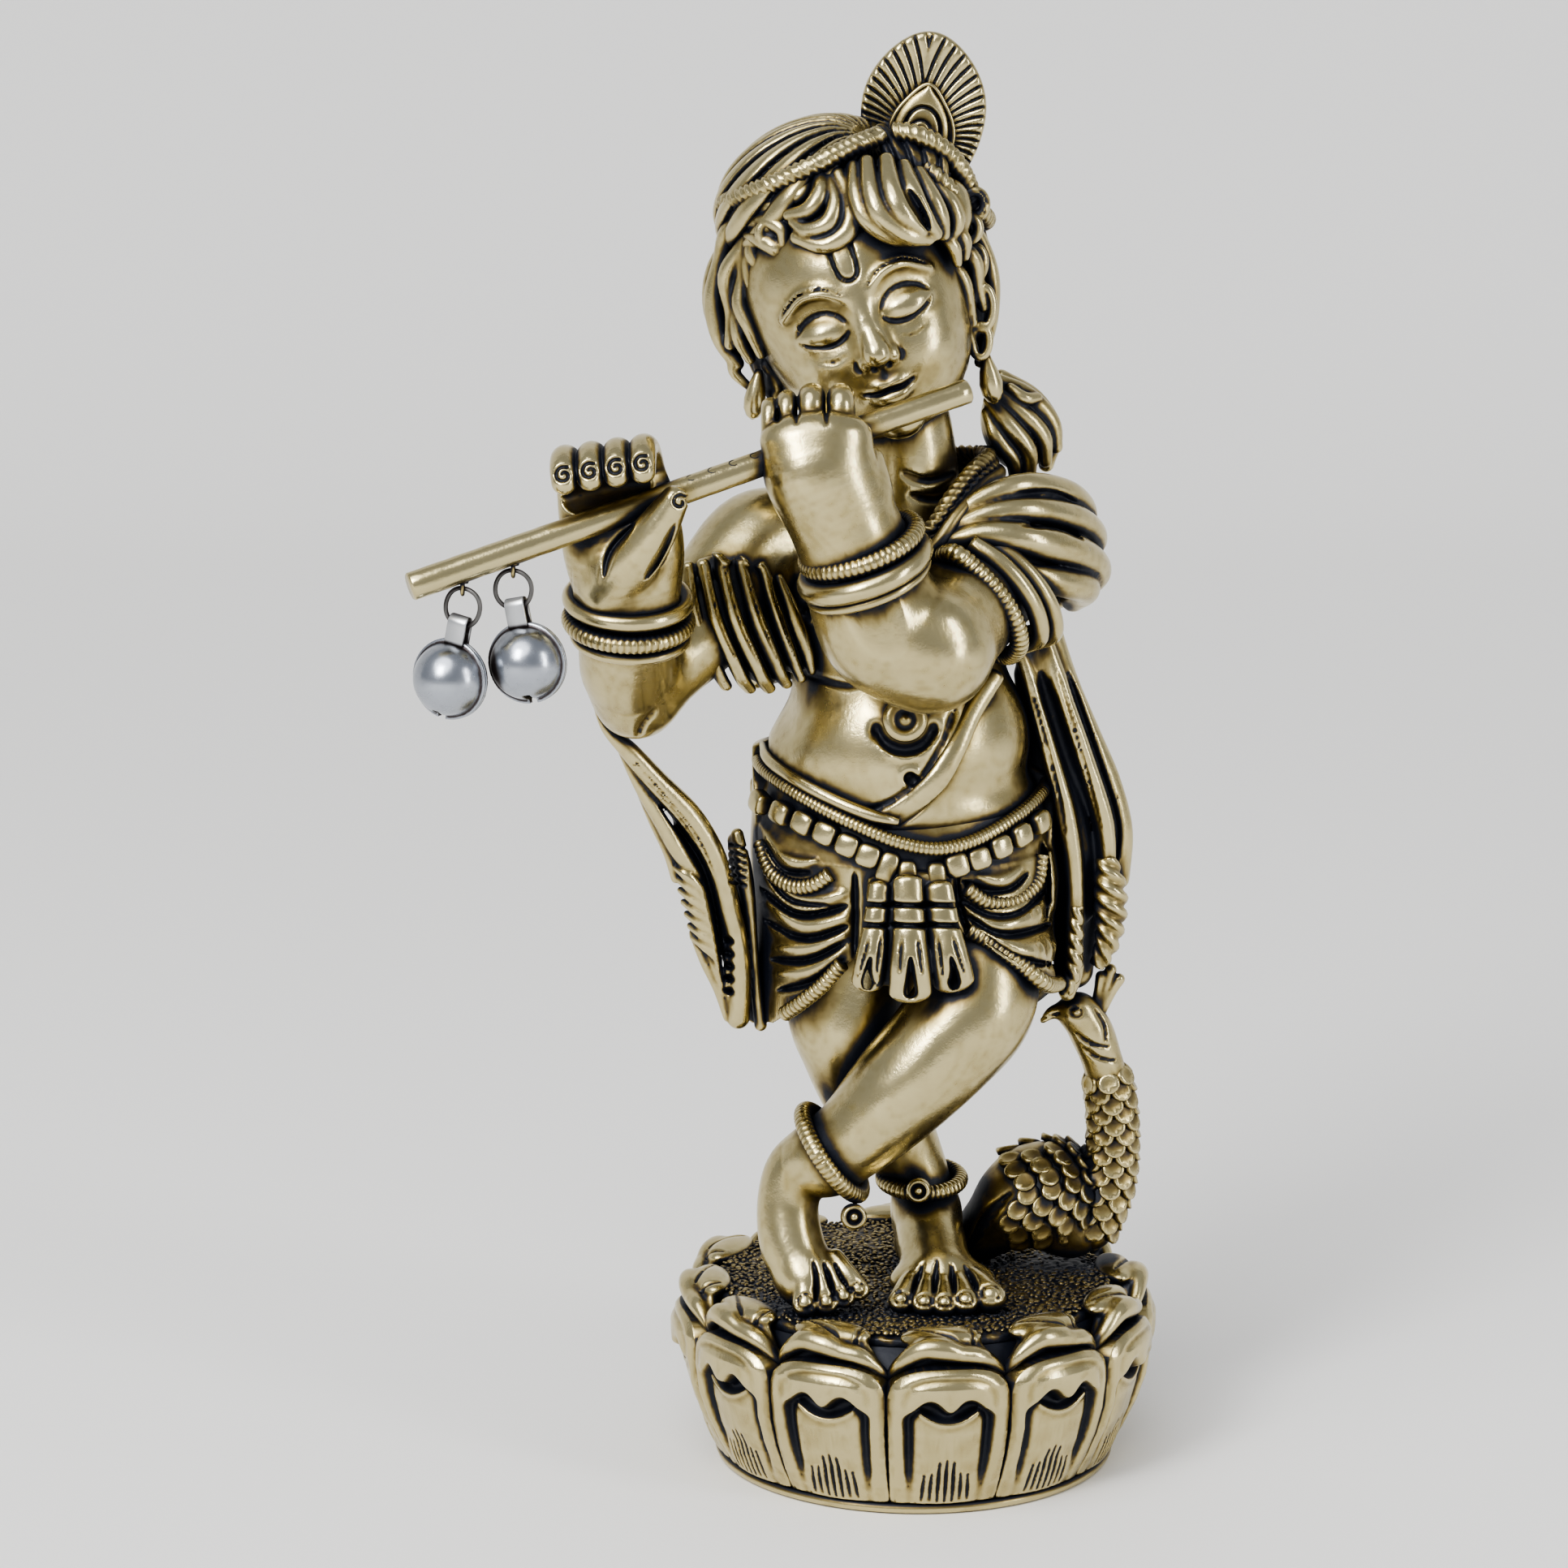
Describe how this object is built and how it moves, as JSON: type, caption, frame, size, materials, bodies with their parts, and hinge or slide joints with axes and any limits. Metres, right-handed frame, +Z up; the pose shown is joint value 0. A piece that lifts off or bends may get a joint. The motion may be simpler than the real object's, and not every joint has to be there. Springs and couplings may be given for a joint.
{
  "type": "flute-playing deity statue",
  "caption": "Cast antique-brass statue of a young flute-playing deity standing cross-legged on a lotus base beside a peacock, with silver jingle bells hung from the flute.",
  "frame": {"origin": "centre of the base's underside", "axes": "+X to the viewer's right, -Y towards the viewer in front, +Z up"},
  "size_m": [0.1006, 0.0815, 0.1996],
  "materials": {
    "antique_brass": "polished highs, dark patina in the recesses",
    "shaded_brass": "mostly dark patina, stippled",
    "ring_wire": "darkened drawn wire",
    "bell_metal": "bright plated sheet"
  },
  "bodies": {
    "statue": {"base_plate": "antique_brass", "lotus_drum": "shaded_brass", "lower_petals": "antique_brass", "upper_petals": "antique_brass", "seed_pad": "shaded_brass", "torso": "antique_brass", "head": "antique_brass", "hair_mass": "shaded_brass", "front_curls": "antique_brass", "side_locks": "antique_brass", "shoulder_lock": "antique_brass", "earrings": "antique_brass", "turban_cap": "antique_brass", "turban_cord": "antique_brass", "turban_knot": "shaded_brass", "feather_fan": "antique_brass", "feather_eye": "antique_brass", "right_arm": "antique_brass", "right_hand": "antique_brass", "right_bangles": "antique_brass", "left_arm": "antique_brass", "left_hand": "antique_brass", "left_bangles": "antique_brass", "necklace": "antique_brass", "breast_pendant": "antique_brass", "sacred_thread": "antique_brass", "shoulder_shawl": "antique_brass", "back_shawl": "antique_brass", "sleeve_folds": "antique_brass", "left_shawl_end": "antique_brass", "right_shawl_end": "antique_brass", "dhoti": "antique_brass", "front_pleats": "antique_brass", "waist_cord": "antique_brass", "belt_drops": "antique_brass", "standing_leg": "antique_brass", "standing_foot": "antique_brass", "standing_anklet": "antique_brass", "crossed_leg": "antique_brass", "crossed_foot": "antique_brass", "crossed_anklet": "antique_brass", "peacock_body": "antique_brass", "peacock_neck": "antique_brass", "peacock_crest": "antique_brass", "flute": "antique_brass", "flute_eyelets": "shaded_brass"},
    "outer_ring": {"outer_ring": "ring_wire"},
    "outer_bell": {"outer_strap": "bell_metal", "outer_bell_front": "bell_metal", "outer_bell_back": "bell_metal"},
    "outer_pellet": {"outer_pellet": "bell_metal"},
    "inner_ring": {"inner_ring": "ring_wire"},
    "inner_bell": {"inner_strap": "bell_metal", "inner_bell_front": "bell_metal", "inner_bell_back": "bell_metal"},
    "inner_pellet": {"inner_pellet": "bell_metal"}
  },
  "joints": [
    {"name": "outer_ring_swing", "type": "hinge", "parent": "statue", "child": "outer_ring", "pos_m": [-0.05965, -0.04382, 0.13075], "axis": [0.9063, -0.4226, 0], "range_deg": [-60, 2]},
    {"name": "outer_bell_sway", "type": "hinge", "parent": "outer_ring", "child": "outer_bell", "pos_m": [-0.05965, -0.04382, 0.12825], "axis": [0.4226, 0.9063, 0], "range_deg": [0, 35]},
    {"name": "outer_pellet_roll", "type": "hinge", "parent": "outer_bell", "child": "outer_pellet", "pos_m": [-0.06146, -0.04297, 0.11886], "axis": [0.9063, -0.4226, 0], "range_deg": [-45, 45]},
    {"name": "inner_ring_swing", "type": "hinge", "parent": "statue", "child": "inner_ring", "pos_m": [-0.05329, -0.0417, 0.13275], "axis": [0.9511, -0.309, 0], "range_deg": [-1, 16]},
    {"name": "inner_bell_sway", "type": "hinge", "parent": "inner_ring", "child": "inner_bell", "pos_m": [-0.05329, -0.0417, 0.13025], "axis": [0.309, 0.9511, 0], "range_deg": [-12, 0]},
    {"name": "inner_pellet_roll", "type": "hinge", "parent": "inner_bell", "child": "inner_pellet", "pos_m": [-0.05155, -0.04226, 0.12083], "axis": [0.9511, -0.309, 0], "range_deg": [-45, 45]}
  ]
}
